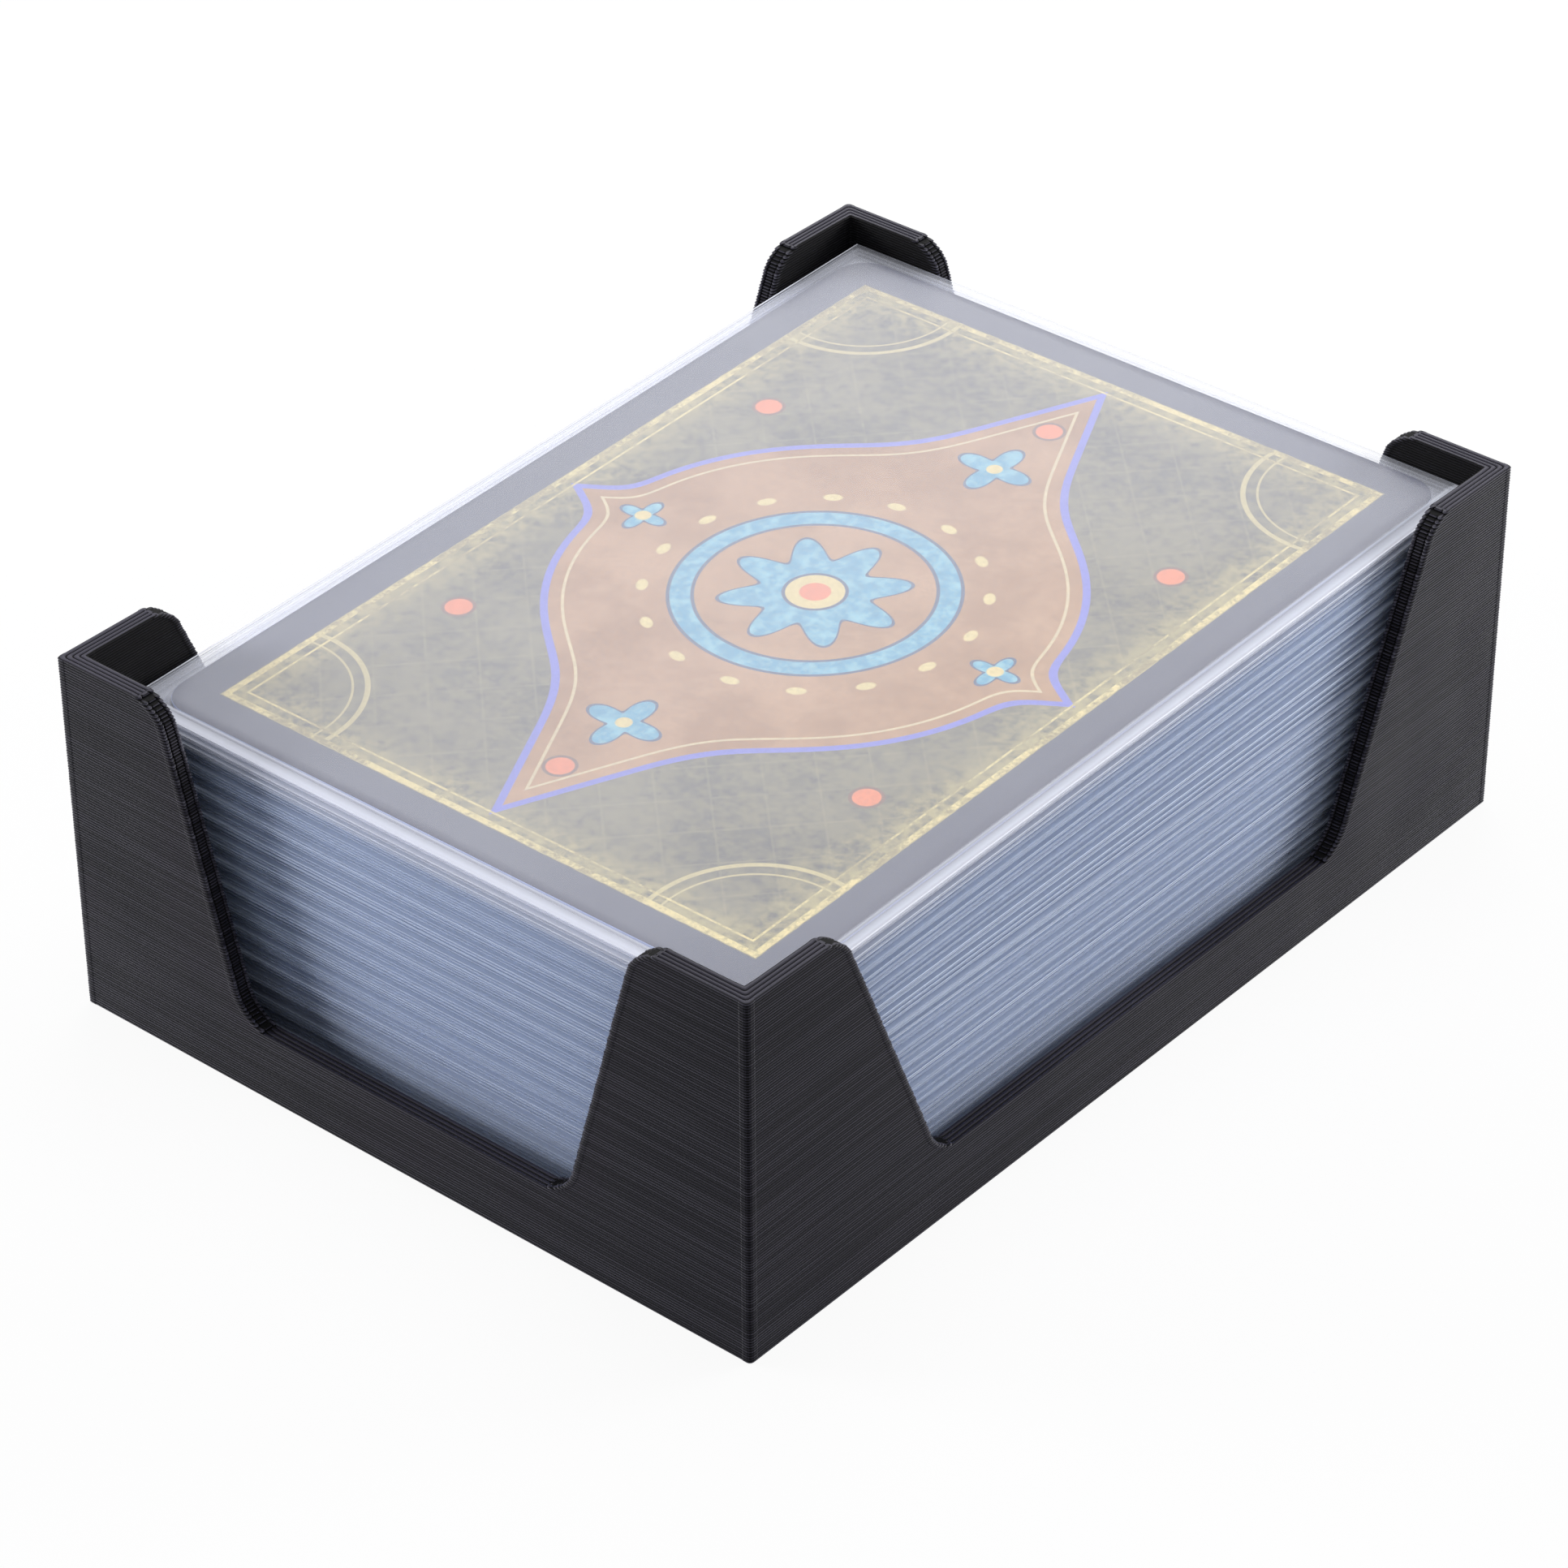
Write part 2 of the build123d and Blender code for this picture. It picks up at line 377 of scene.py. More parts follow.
# %% Base: low wall and floor
def frame_ring(half_x, half_y, radius, steps=6, sunk=None):
    """A rectangle with round corners, counter-clockwise: corner centre + radius x (cos, sin).

    Where sunk is given, the sides lie that much further in, behind a ridge at each corner.
    """
    turn = np.linspace(0, np.pi / 2, steps)
    radius = radius[:, None]
    before, after = radius * (1 - np.cos(turn)), radius * (1 - np.sin(turn))
    if sunk is not None:
        sunk, level = sunk[:, None], 0 * radius
        ridge, flat = level + RIDGE, level + RIDGE + RIDGE_FALL
        before = np.hstack([sunk, level, before, ridge, flat])
        after = np.hstack([flat, ridge, after, level, sunk])
    x, y = [], []
    for out_x, out_y in ((1, 0), (0, 1), (-1, 0), (0, -1)):
        x.append(half_x[:, None] * (out_x - out_y) - out_x * before + out_y * after)
        y.append(half_y[:, None] * (out_x + out_y) - out_y * before - out_x * after)
    return np.hstack(x), np.hstack(y)


def base_surface():
    """Outer beads going up, four beads across the lip, inner beads going down to the floor."""
    lip_layers, floor_layers = round(LIP_HEIGHT / LAYER), round(FLOOR / LAYER)
    up_z, *up = layer_rings(0, lip_layers)
    down_z, *down = layer_rings(floor_layers, lip_layers)
    across = np.linspace(0, 1, TOP_ROWS)[1:-1]
    lip_z = lip_layers * LAYER - top_beads(across)
    z = np.concatenate([up_z, lip_z, down_z[::-1]])
    inset = np.concatenate([bead_inset(*up), across * WALL, WALL - bead_inset(*down)[::-1]])
    radius = np.interp(inset, [0, WALL], [OUTER_ROUND, INNER_ROUND])
    sunk = np.interp(inset, [0.1, 0.5], [SUNK, 0])
    # Painted shade for each ring and for the lip's grooves is kept beside the places.
    top_groove_shade = top_beads(across) / TOP_DEPTH
    groove_shade = np.concatenate([ring_shade(up[0]), top_groove_shade, ring_shade(down[0][::-1])])
    x, y = frame_ring(TRAY_WIDTH / 2 - inset, TRAY_LENGTH / 2 - inset, radius, 4, sunk)
    return np.stack([x, y, z[:, None] + 0 * x, groove_shade[:, None] + 0 * x], -1)


base = base_surface()
print("base", base.shape[:2], "rings x points")

# %% [markdown]
# ## Corner posts
#
# Seen from above a post is an L. Its outline starts at the end of one wing, goes
# round the outside to the end of the other and comes back along the inside. The wing
# ends follow the notch, layer by layer. Across an end lie a narrow bead, a broad one
# and a narrow one, with grooves between them, and these make the rows of little beads
# along the slanted edges. The other three posts are the same shape, mirrored, with the
# order of their points turned round so that they face outwards.

# %% Outline of a post
# Half a wing's end: places in from the wall's face, and how far each lies back.
END_ACROSS = np.array([0.56, 0.46, 0.38, 0.26, 0.14, 0.04, 0.0])
END_BACK = np.array([0.05, 0.24, 0.05, 0.0, 0.03, 0.15, 0.34])
# Columns of a post's ring: the grooves of the ends, their beads' noses, the inner faces. The grooves
# and inner faces get painted shade, the noses a painted glint.
END_GROOVES, END_NOSES, INNER_FACES = [1, 24, 27, 50], [3, 4, 21, 22, 29, 30, 47, 48], slice(33, 45)


def half_outline(start_a, start_b, x_wall, y_wall, radius, side):
    """From the middle of one wing's end, round the corner, to the middle of the other's.

    side is 1 on the outside and -1 on the inside. Each point is a wall's place, less an
    inset. The ends follow END_ACROSS and END_BACK, the corner is an arc.
    """
    turn = np.linspace(0, np.pi / 2, 4)
    flat_x, flat_y = x_wall - side * SUNK, y_wall - side * SUNK
    x = [x_wall - side * END_ACROSS, x_wall, flat_x, flat_x, x_wall,
         x_wall - radius * (1 - np.cos(turn)), x_wall - RIDGE, x_wall - RIDGE - RIDGE_FALL,
         start_b + RIDGE, start_b + RIDGE - RIDGE_FALL, start_b + END_BACK[::-1]]
    y = [start_a + END_BACK, start_a + RIDGE - RIDGE_FALL, start_a + RIDGE,
         y_wall - RIDGE - RIDGE_FALL, y_wall - RIDGE, y_wall - radius * (1 - np.sin(turn)),
         y_wall, flat_y, flat_y, y_wall, y_wall - side * END_ACROSS[::-1]]
    return np.hstack(x), np.hstack(y)


BURIED, BURIED_INSET = 0.15, 0.1


def post_surface():
    """Rings of one post, and the bead-topped cap between its outside and its inside.

    The first ring is buried in the base, so that no two surfaces lie in one place.
    """
    lip_layers = round(LIP_HEIGHT / LAYER)
    z, in_bead, layer = layer_rings(lip_layers, LAYERS)
    inset = bead_inset(in_bead, layer)
    end_inset = END_DEPTH * in_bead**2 + uneven_end[layer]
    z = np.append(lip_layers * LAYER - BURIED, z)
    middle = np.append(LIP_HEIGHT, (layer + 0.5) * LAYER)
    inset = np.append(BURIED_INSET, inset)[:, None]
    end_inset = np.append(BURIED_INSET, end_inset)[:, None]
    start_a = half_notch(middle, TRAY_LENGTH, LONG_SIDE_SLANT)[:, None] + end_inset
    start_b = half_notch(middle, TRAY_WIDTH, SHORT_SIDE_SLANT)[:, None] + end_inset
    half_x, half_y = TRAY_WIDTH / 2, TRAY_LENGTH / 2
    outer = half_outline(start_a, start_b, half_x - inset, half_y - inset, OUTER_ROUND, 1)
    half_x, half_y = half_x - WALL, half_y - WALL
    inner = half_outline(start_a, start_b, half_x + inset, half_y + inset, INNER_ROUND, -1)
    x, y = (np.hstack([o, i[:, ::-1]]) for o, i in zip(outer, inner))
    # Painted shade for each ring: more in the ends' grooves and on the inner faces, and below 0 on
    # the beads' noses, a painted glint.
    groove_shade = np.append(1, ring_shade(in_bead))[:, None] + 0 * x
    groove_shade[:, END_GROOVES] = 1
    groove_shade[1:, END_NOSES] -= 0.7
    groove_shade[1:, INNER_FACES] += 0.4
    sides = np.stack([x, y, z[:, None] + 0 * x, groove_shade], -1)
    across = np.linspace(0, 1, TOP_ROWS)[:, None, None]
    half = x.shape[1] // 2
    cap = (1 - across) * sides[-1, :half] + across * sides[-1, half:][::-1]
    # Only the cap's first and last rows follow the ends' little beads.
    cap[1:-1, 2:7, 1] = start_a[-1] + np.linspace(0.26, 0.34, 5)
    cap[1:-1, -7:-2, 0] = start_b[-1] + np.linspace(0.34, 0.26, 5)
    beads = top_beads(across[1:-1, :, 0])
    # The cap's grooves get painted shade too.
    cap[1:-1, 6:-6, 2], cap[1:-1, 6:-6, 3] = TRAY_HEIGHT - beads, beads / TOP_DEPTH * 0.85
    cap[1:-1, :6, 3], cap[1:-1, -6:, 3] = 0.3, 0.3
    return sides, cap


post, post_cap = post_surface()
print("post", post.shape[:2], "rings x points, cap", post_cap.shape[:2])

# %% Tray in one mesh
def grid_piece(grids):
    """Points and quads of several grids, each given with whether its rows close."""
    points, quads, first = [], [], 0
    for grid, closed in grids:
        rows, columns = grid.shape[:2]
        points.append(grid.reshape(-1, grid.shape[-1]))
        quads.append(grid_faces(rows, columns, closed, first))
        first += rows * columns
    return np.concatenate(points), np.concatenate(quads)


def flat_fill(ring, downwards):
    """A grid that fills a ring: its back half against its front half, facing up or down."""
    half = len(ring) // 2
    first, second = ring[:half], ring[half:][::-1]
    return np.stack([first, second] if downwards else [second, first])


grids = [(base, True), (flat_fill(base[-1], False), False), (flat_fill(base[0], True), False)]
half = post.shape[1] // 2
bottom = np.stack([post[0, half:][::-1], post[0, :half]])
for side_x, side_y in ((1, 1), (-1, 1), (-1, -1), (1, -1)):
    turned = slice(None, None, side_x * side_y)
    mirror = np.array([side_x, side_y, 1.0, 1.0])
    for grid, closed in ((post, True), (post_cap, False), (bottom, False)):
        grids.append(((grid * mirror)[:, turned], closed))
tray_points, tray_quads = grid_piece(grids)
tray, kept = make_piece(
    "printed_tray", tray_points[:, :3], tray_quads, filament.material,
    ["tray"], "tray", smooth=False, carry=tray_points[:, 3:])
# The painted shade and glints of the rings go to the attribute that the filament reads.
tray.data.attributes.new("groove_shade", "FLOAT", "POINT").data.foreach_set("value", kept[:, 3])
print("tray has", 2 * len(tray_quads), "triangles")

# %% [markdown]
# ## Where each sleeved card lies
#
# The stack is 50 sleeved cards. Each sleeve has slid a little within its play, and the
# upper ones rise to the back from their pressed front edge. The formula is the one that
# placed the solids, so it is applied here to points instead of to shapes.

# %% Places in the stack
STEP_ACROSS, STEP_ALONG, STEP_TURN = 2.4, 1.7, 1.1  # radians from one card to the next
CARD_SPREAD, CARD_TURN = 0.3, 0.2


def turn_about_x(points, degrees, y_axis):
    """Turns points about a line along X at this y: y and z mix by cosine and sine."""
    c, s = np.cos(np.radians(degrees)), np.sin(np.radians(degrees))
    y, z = points[..., 1] - y_axis, points[..., 2]
    return np.stack([points[..., 0], y_axis + y * c - z * s, y * s + z * c], -1)


def lay_sleeve(points, number):
    """Slides, tilts and lifts a sleeve's points to where that sleeve lies."""
    across = PLAY_ACROSS * SPREAD * np.sin(STEP_ACROSS * number)
    along = PLAY_ALONG * (SHIFT_TO_BACK + SPREAD * np.sin(STEP_ALONG * number))
    height = FLOOR + (CARD_COUNT - number + 1) * PITCH - SLEEVE_THICKNESS / 2
    loose = np.clip((LOOSE_CARDS + FADING_CARDS - number) / FADING_CARDS, 0, 1)
    points = points + np.array([across, along, 0.0])
    risen = turn_about_x(points, RISE_TO_BACK * loose, -SLEEVE_LENGTH / 2)
    return risen + np.array([0, 0, height])


def lay_card(points, number):
    """Turns and slides a card in its sleeve, and lays it with the sleeve."""
    turn = np.radians(CARD_TURN * np.sin(STEP_TURN * number))
    c, s = np.cos(turn), np.sin(turn)
    x, y = points[..., 0], points[..., 1]
    turned = np.stack([x * c - y * s, x * s + y * c, points[..., 2]], -1)
    slide = np.array([np.sin(STEP_ALONG * number), np.sin(STEP_ACROSS * number), 0.0])
    return lay_sleeve(turned + SHOULDER * CARD_SPREAD * slide, number)


SINGLE_CARDS, CARDS_IN_PACKET = 8, 6
starts = range(SINGLE_CARDS + 1, CARD_COUNT, CARDS_IN_PACKET)
packets = {letter: range(first, first + CARDS_IN_PACKET) for letter, first in zip("abcdefg", starts)}
print("packets", {letter: (numbers[0], numbers[-1]) for letter, numbers in packets.items()})

# %% [markdown]
# ## Sleeve film
#
# The sleeves are clear film with a fine matt grain. Such film scatters part of the
# light, so it looks milky over a dark card and all but vanishes over white. Glass
# shading would be slow and too clear. Instead each surface of the film lets most light
# straight through and scatters the rest, by its Alpha. A film has two surfaces, and the
# light crosses both. The cut and welded edges scatter more, by an attribute of haze,
# which also carries painted light: less haze toward the stack's foot, a painted shade,
# and a little more toward the back of the top film, a painted sheen. The margins of
# the buried sleeves look bluer, by the attribute "cool".

# %% Film
film = Finish("matt_film")
cloud = film.noise(9.0, detail=3.0)
matt_grain = film.noise(0.16, detail=2.0)
film.set(IOR=1.45)
film.feed("Base Color", film.mix(carried(film, "cool"), (0.86, 0.885, 0.985), (0.725, 0.815, 1.0)))
film.feed("Alpha", carried(film, "haze_and_painted_light") + (cloud - 0.5) * 0.05)
film.feed("Roughness", matt_grain * 0.25 + 0.3)
film.bump(matt_grain, 0.012)
film.material.surface_render_method = "DITHERED"
print(film.material.name, "has", len(film.tree.nodes), "nodes")

# %% [markdown]
# ## The sleeve's shape
#
# A sleeve is two films, welded along both long sides and across the back, and open at
# the front. It swells over the card and draws together past the card's edge. Its
# half thickness is a function of x and y: the smaller of a profile across and a profile
# along. Each section is a closed loop over the top film and back under the bottom one,
# and the inside follows from the outside, one film thinner.

# %% Half thickness
WELD_HALF, LIPS_HALF = 0.135, 0.185  # at the welded seams and at the open lips
MARGIN = (SLEEVE_WIDTH - CARD_WIDTH) / 2  # film past the card, alike at its sides and its ends
LEVEL = 0.25  # the film stays level this far past the card


def ease(t):
    """Rises from 0 to 1 with level ends: 3 t^2 - 2 t^3."""
    t = np.clip(t, 0, 1)
    return t * t * (3 - 2 * t)


def half_thickness(x, y):
    """Half the sleeve's thickness: full over the card, less at the welds and the mouth."""
    full = SLEEVE_THICKNESS / 2

    def drawn(distance, end, rim):
        return full + (rim - full) * ease((distance - LEVEL) / (end - LEVEL))

    side = drawn(abs(x) - CARD_WIDTH / 2, MARGIN - WELD, WELD_HALF)
    back = drawn(y - CARD_LENGTH / 2, MARGIN - WELD, WELD_HALF)
    lips = drawn(-y - CARD_LENGTH / 2, MARGIN, LIPS_HALF)
    return np.minimum(np.minimum(side, back), lips)


print("over the card", half_thickness(0.0, 0.0), "at a weld", half_thickness(33.0, 0.0))

# %% Waves of the free margin
WAVE, RIPPLE = 0.05, 0.01


def margin_lift(x, y, number):
    """How far the film's margin lies above or below its place, in mm.

    Slow waves along each side, which grow from nothing at the card's edge to their
    full height at the rim. Neighbouring sleeves share most of their wave.
    """
    random = np.random.default_rng(100 + number)
    own = random.uniform(-1, 1, 8)
    side = ease((abs(x) - CARD_WIDTH / 2) / MARGIN)
    end = ease((abs(y) - CARD_LENGTH / 2) / MARGIN)
    along = WAVE * np.sin(y / 17 + 0.12 * number + 2 * np.sign(x))
    along += RIPPLE * np.sin(y / (9 + own[0]) + 3 * own[1]) + WAVE * own[4]
    across = WAVE * np.sin(x / 14 + 0.1 * number + 2 * np.sign(y))
    across += RIPPLE * np.sin(x / (8 + own[2]) + 3 * own[3]) + WAVE * own[5]
    return side * along * (1 - 0.6 * end) + end * across * (1 - 0.6 * side)


print("margin of sleeve 3 at its right rim:", round(float(margin_lift(33.0, 10.0, 3)), 3), "mm")

# %% Surface of a sleeve
FROM_RIM = np.array([0.0, 0.05, 0.15, 0.4, 0.75, 1.05, 1.3, 1.5, 2.6])
OVER_CARD_FROM = 4.0  # from here inwards the places are evenly spaced
RIM_GROOVE = 0.04
PLAIN_GRID, FINE_GRID = (5, 13), (24, 36)  # places across and along, over the card


def places(half, count):
    """Places across a sleeve, close together in its margins."""
    inner = np.linspace(OVER_CARD_FROM - half, half - OVER_CARD_FROM, count)
    return np.concatenate([-half + FROM_RIM, inner, (half - FROM_RIM)[::-1]])


def sleeve_rows(y, x_half, inside, columns):
    """Loops over the top film and back under the bottom one, with a groove along each rim."""
    x = places(x_half, columns)
    top = np.concatenate([1 + 0 * x, [0], -1 + 0 * x, [0]])[None, :]
    x = np.concatenate([x, [x_half - RIM_GROOVE], x[::-1], [RIM_GROOVE - x_half]])
    x, y = np.meshgrid(x, y)
    height = half_thickness(x, y) - (FILM if inside else 0.0)
    return np.stack([x, y, top * np.maximum(height, 0.0)], -1)


def sleeve_surface(columns, rows):
    """Back rim, outside to the mouth, and the inside from the mouth to the back weld."""
    y = places(SLEEVE_LENGTH / 2, rows)[::-1]
    outside = sleeve_rows(y, SLEEVE_WIDTH / 2, False, columns)
    rim = outside[:1] * np.array([1, 1, 0.0]) - np.array([0, RIM_GROOVE, 0])
    y_inside = y[::-1][y[::-1] < SLEEVE_LENGTH / 2 - WELD]
    y_inside = np.append(y_inside, SLEEVE_LENGTH / 2 - WELD)
    inside = sleeve_rows(y_inside, SLEEVE_WIDTH / 2 - WELD, True, columns)
    return np.concatenate([rim, outside, inside])


print("a plain sleeve is a grid of", sleeve_surface(*PLAIN_GRID).shape[:2])

# %% Haze and colour of a sleeve
SURFACE_HAZE, RIM_HAZE = 0.19, 0.9
CLEAR_MARGIN = 0.35  # share of the margin's haze at the left and the back, where it is smoother
MARGIN_HAZE = [0.36, 0.46, 0.48, 0.38, 0.22, 0.44, 0.19]  # from the rim to the fold at the card
GROUP_SWING, RIM_STEPS, RIM_CHANCES = 0.3, [0.25, 0.4, 0.55, 1.2], [0.3, 0.3, 0.28, 0.12]
FOOT_SHADE_FROM = 12  # below this card the haze drops toward the stack's foot, a painted shade


def rim_haze(x, y, z, number):
    """Haze of the thin edges: highest at the rim, by chance more on some films than on others."""
    random = np.random.default_rng(300 + number)
    group = 0.8 + GROUP_SWING * np.sin(0.9 * number) * np.sin(0.23 * number)
    upper, lower = group * random.choice(RIM_STEPS, 2, p=RIM_CHANCES)
    upper = RIM_STEPS[-1] if number < 4 else upper
    width = 0.16 if number == 1 else 0.05
    side = ease((abs(x) - SLEEVE_WIDTH / 2) / width + 1) * (abs(z) > 0.02)
    side *= np.where(x > 0, 1.5, 0.7 if number > 1 else 1.35)
    end = ease((abs(y) - SLEEVE_LENGTH / 2) / width + 1) * np.where(y > 0, 0.25, 0.6)
    return RIM_HAZE * np.maximum(side, end) * np.where(z > 0, upper, lower)


def sleeve_haze_and_light(rows, number):
    """The film's own haze, its margin's, and its rim's, whichever is more.

    The top film lies closer to its card at the right, and looks clearer there. Toward
    the back it is a little hazier, a painted sheen. Below the top cards the haze drops
    toward the stack's foot, a painted shade.
    """
    x, y, z = rows[..., 0], rows[..., 1], rows[..., 2]
    to_rim = np.minimum(SLEEVE_WIDTH / 2 - abs(x), SLEEVE_LENGTH / 2 - abs(y))
    margin = np.interp(to_rim, FROM_RIM[1:-1], MARGIN_HAZE)
    rough = (x > SLEEVE_WIDTH / 2 - MARGIN) | (y < MARGIN - SLEEVE_LENGTH / 2)
    margin *= np.where(rough, 1.0, CLEAR_MARGIN)
    to_right = np.maximum(x, 0) / SLEEVE_WIDTH * (1 - 0.7 * ease((y - 15) / 20))
    # Painted sheen: a little more haze toward the back of the top film; less at the right, where it
    # lies closer to its card.
    sheen_and_contact = (0.1 * y / SLEEVE_LENGTH - 0.75 * to_right) * (number == 1)
    # Painted shade: the haze, and so the brightness, drops toward the bottom of the stack.
    foot_shade = 1 - 0.35 * ease((number - FOOT_SHADE_FROM) / (CARD_COUNT - FOOT_SHADE_FROM))
    haze_and_painted_light = np.where(to_rim > MARGIN, SURFACE_HAZE * (1 + sheen_and_contact), margin * foot_shade)
    return np.maximum(haze_and_painted_light, rim_haze(x, y, z, number) * foot_shade)


def sleeve_cool(rows, number):
    """How far the margin's colour turns to blue: less on the top sleeves, where it lies bare."""
    past_side = ease((rows[..., 0] - CARD_WIDTH / 2) / 0.6)
    past_end = ease((-rows[..., 1] - CARD_LENGTH / 2) / 0.6)
    return np.maximum(past_side, past_end) * ease((number - 1) / 5)


def make_sleeves(name, numbers, nodes, body, grid=PLAIN_GRID):
    """One piece with a sleeve for each of the numbers, and its two looks as attributes."""
    grids = []
    for number in numbers:
        rows = sleeve_surface(*grid)
        looks = np.stack([sleeve_haze_and_light(rows, number), sleeve_cool(rows, number)], -1)
        rows[..., 2] += margin_lift(rows[..., 0], rows[..., 1], number)
        grids.append((np.concatenate([lay_sleeve(rows, number), looks], -1)[:, ::-1], True))
    points, quads = grid_piece(grids)
    piece, kept = make_piece(
        name, points[:, :3], quads, film.material, nodes, body, carry=points[:, 3:])
    for column, label in ((3, "haze_and_painted_light"), (4, "cool")):
        attribute = piece.data.attributes.new(label, "FLOAT", "POINT")
        attribute.data.foreach_set("value", np.clip(kept[:, column], 0, 1))
    return piece


print("rims scatter", RIM_HAZE, "and the film", SURFACE_HAZE, "on each surface")

# %% [markdown]
# ## The card's back
#
# The cards lie face down, so their backs show. The back here is a generic one in the
# old manner: a dark border, a double gilt frame, a mottled field with a faint trellis,
# and a pointed medallion. It is drawn in millimetres from the card's middle, and it is
# the same the other way up, as a card's back should be. An image could be painted
# instead, but formulas stay sharp at any distance. The matt film over it adds a veil of
# its own, so the inks are written deeper than they look. The card is a flat plate with
# rounded corners.

# %% Ink shapes
PRINT_SPAN = 100.0  # millimetres across the whole UV square
board = Finish("printed_board")
place = board.add("ShaderNodeUVMap")
place.uv_map = "print"
u, v, _ = board.parts(place.outputs[0])
x, y = (u - 0.5) * PRINT_SPAN, (v - 0.5) * PRINT_SPAN
ax, ay = abs(x), abs(y)


def line(distance, width):
    """1 on a line of this width, where the distance is 0."""
    return abs(distance).soft(width / 2 - 0.05, width / 2 + 0.05, 1.0, 0.0)


def inside(distance, blur=0.08):
    """1 where the distance is below 0."""
    return distance.soft(-blur, blur, 1.0, 0.0)


def around(cx, cy):
    """Distance from a place and its mirror images, and the angle about it."""
    dx, dy = ax - cx, ay - cy
    return (dx * dx + dy * dy).math("SQRT"), dy.math("ARCTAN2", dx)


frame_in = (CARD_WIDTH / 2 - ax).least(CARD_LENGTH / 2 - ay)
print("the border is measured inwards from the card's edge")

# %% Field and frame
GILT_IN, LINE_IN = 4.0, 5.2  # how far the frame's two lines lie in from the card's edge
mottle = board.noise(1.2, detail=6.0, roughness=0.75)
stain = board.noise(9.0, detail=5.0, roughness=0.6)
fibre = board.noise(0.3, detail=2.0)
trellis = line((x + y) % 6.0 - 3.0, 0.25).most(line((x - y) % 6.0 - 3.0, 0.25))
rubbed = (frame_in + stain * 9.0).soft(7.0, 14.0, 1.0, 0.3)
olive = (mottle * 0.6 + stain * 0.4).soft(0.34, 0.61) * rubbed
ground = board.mix(olive, (0.10, 0.092, 0.076), (0.70, 0.60, 0.27))
ground = board.mix(trellis * 0.18, ground, (0.50, 0.43, 0.24))
corner_x, corner_y = CARD_WIDTH / 2 - LINE_IN - ax, CARD_LENGTH / 2 - LINE_IN - ay
corner_in = (corner_x * corner_x + corner_y * corner_y).math("SQRT")
fans = line(corner_in - 9.5, 0.45).most(line(corner_in - 8.3, 0.2))
ground = board.mix(fans, ground, (0.70, 0.60, 0.30))
border = board.mix(frame_in.soft(3.55, 3.65), (0.075, 0.08, 0.135), ground)
gilt = line(frame_in - GILT_IN, 0.6).most(line(frame_in - LINE_IN, 0.22))
print("field and frame are drawn")

# %% Medallion: a disc drawn out to two long points and two short ones
def beyond(across, along):
    """Distance past the straight line that cuts the card's axes at these two places."""
    scale = round((across**-2 + along**-2) ** -0.5, 1)
    return (ax / across + ay / along - 1.0) * scale


reach, angle = around(0.0, 0.0)
upright, sideways = beyond(18.0, 38.4), beyond(26.0, 16.0)
medallion = upright.math("SMOOTH_MIN", reach - 22.0, 7.0).math("SMOOTH_MIN", sideways, 2.5)
leather = mottle * 0.3 + stain * 0.7
medallion_ink = board.mix(leather.soft(0.38, 0.62), (0.46, 0.235, 0.085), (0.63, 0.36, 0.16))
inked = board.mix(inside(medallion), border, medallion_ink)
inked = board.mix(line(medallion, 0.65), inked, (0.24, 0.25, 0.78))
inked = board.mix(line(medallion + 1.5, 0.25), inked, (0.82, 0.68, 0.40))
print("medallion is drawn")


# %% Rosette, leaves and dots
def outlined(base, distance, ink, edge, width=0.3):
    """A flat shape with a darker outline, over a base."""
    return board.mix(line(distance, width), board.mix(inside(distance), base, ink), edge)


DEEP, GOLD, ORANGE = (0.05, 0.09, 0.20), (0.90, 0.74, 0.34), (0.95, 0.29, 0.11)
TURQUOISE = board.mix(mottle.soft(0.42, 0.62), (0.09, 0.42, 0.62), (0.30, 0.66, 0.78))
inked = outlined(inked, abs(reach - 11.0) - 1.0, TURQUOISE, DEEP)
inked = outlined(inked, reach - 6.4 - 1.6 * (angle * 8.0).math("COSINE"), TURQUOISE, DEEP)
BEADS_ROUND, BEAD_RING, BEAD_STEP = 16, 14.2, 3.4
spoke = ((angle * (BEADS_ROUND / (2 * np.pi))) % 1.0 - 0.5) * BEAD_STEP
off_ring = reach - BEAD_RING
inked = board.mix(inside((spoke * spoke + off_ring * off_ring).math("SQRT") - 0.5), inked, GOLD)
inked = outlined(inked, reach - 2.6, GOLD, DEEP)
inked = board.mix(inside(reach - 1.3), inked, ORANGE)
for cx, cy, size in ((0.0, 23.5, 3.6), (18.6, 0.0, 2.3)):
    away, about = around(cx, cy)
    petals = size * (0.7 + 0.3 * (about * 4.0).math("COSINE"))
    inked = outlined(inked, away - petals, TURQUOISE, DEEP)
    inked = board.mix(inside(away - 0.7), inked, GOLD)
for cx, cy in ((0.0, 31.0), (21.4, 19.5)):
    away, _ = around(cx, cy)
    inked = outlined(inked, away - 1.3, ORANGE, (0.25, 0.13, 0.08))
worn = (board.noise(14.0, detail=5.0, roughness=0.6) * 0.5 + mottle * 0.5).soft(0.42, 0.58)
inked = board.mix(gilt, inked, board.mix(worn, (0.94, 0.79, 0.36), (0.42, 0.35, 0.17)))
inked = board.mix(fibre.soft(0.35, 0.7, 0.0, 0.16), inked, (0.10, 0.09, 0.08))
print("ornaments are drawn")

